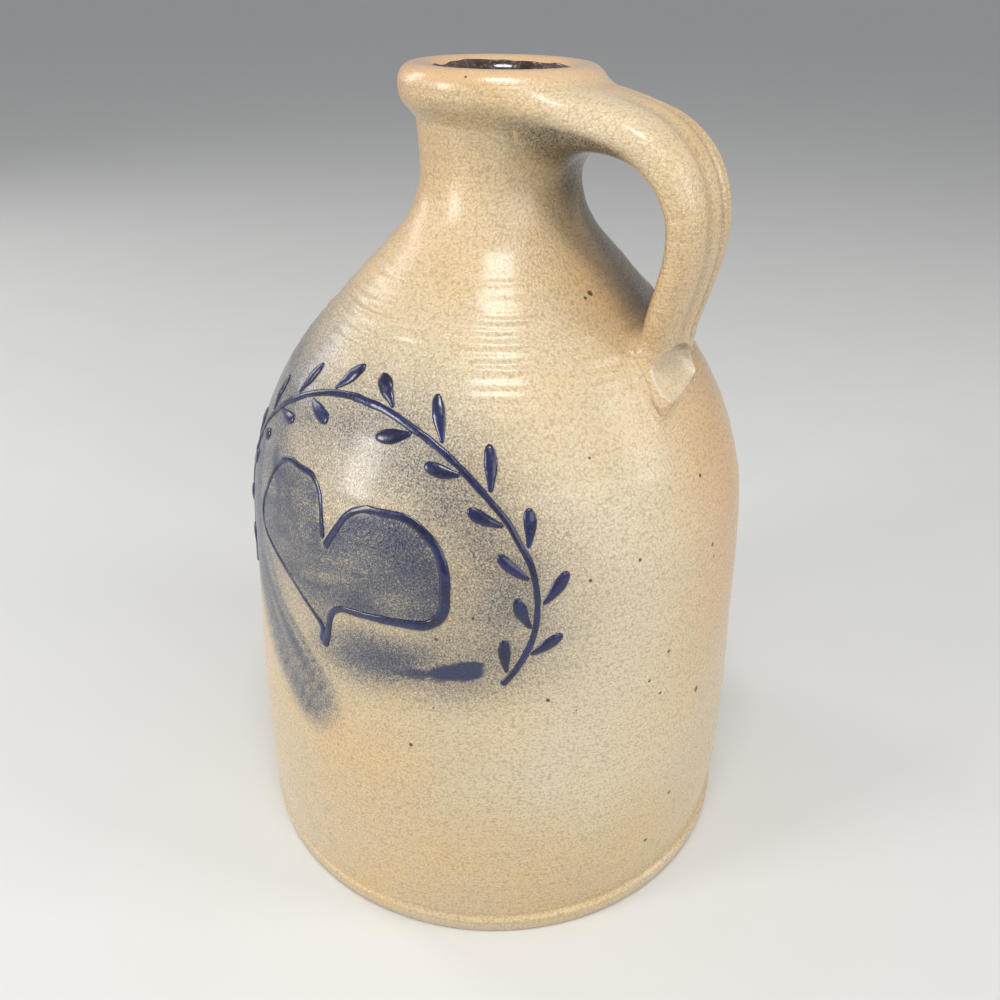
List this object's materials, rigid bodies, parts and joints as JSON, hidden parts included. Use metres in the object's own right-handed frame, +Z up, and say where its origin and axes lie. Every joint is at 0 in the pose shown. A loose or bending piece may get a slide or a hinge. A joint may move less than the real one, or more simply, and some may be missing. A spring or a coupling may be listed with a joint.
{
  "type": "stoneware jug",
  "caption": "Thrown stoneware jug with a narrow rimmed mouth, a strap handle from rim to shoulder, a dark lining glaze and raised blue slip decoration.",
  "frame": {"origin": "middle of the foot, on the surface that the jug stands on", "axes": "+Z up along the jug's axis, +X towards the handle, -Y towards the decorated front"},
  "size_m": [0.1778, 0.1778, 0.267],
  "materials": {
    "salt_glazed_stoneware": "tan salt glaze with a fine orange-peel grain",
    "fired_slip": "dull fired clay slip under a thin salt glaze",
    "dark_liner_glaze": "glossy dark brown lining glaze",
    "cobalt_slip": "glossy dark blue slip under the salt glaze"
  },
  "bodies": {
    "root": {"thrown_body": "salt_glazed_stoneware", "pulled_handle": "salt_glazed_stoneware", "upper_luting_slip": "fired_slip", "lower_luting_slip": "fired_slip", "liner_glaze": "dark_liner_glaze", "heart_trail": "cobalt_slip", "sprig_stem": "cobalt_slip", "sprig_leaves": "cobalt_slip"}
  },
  "joints": []
}
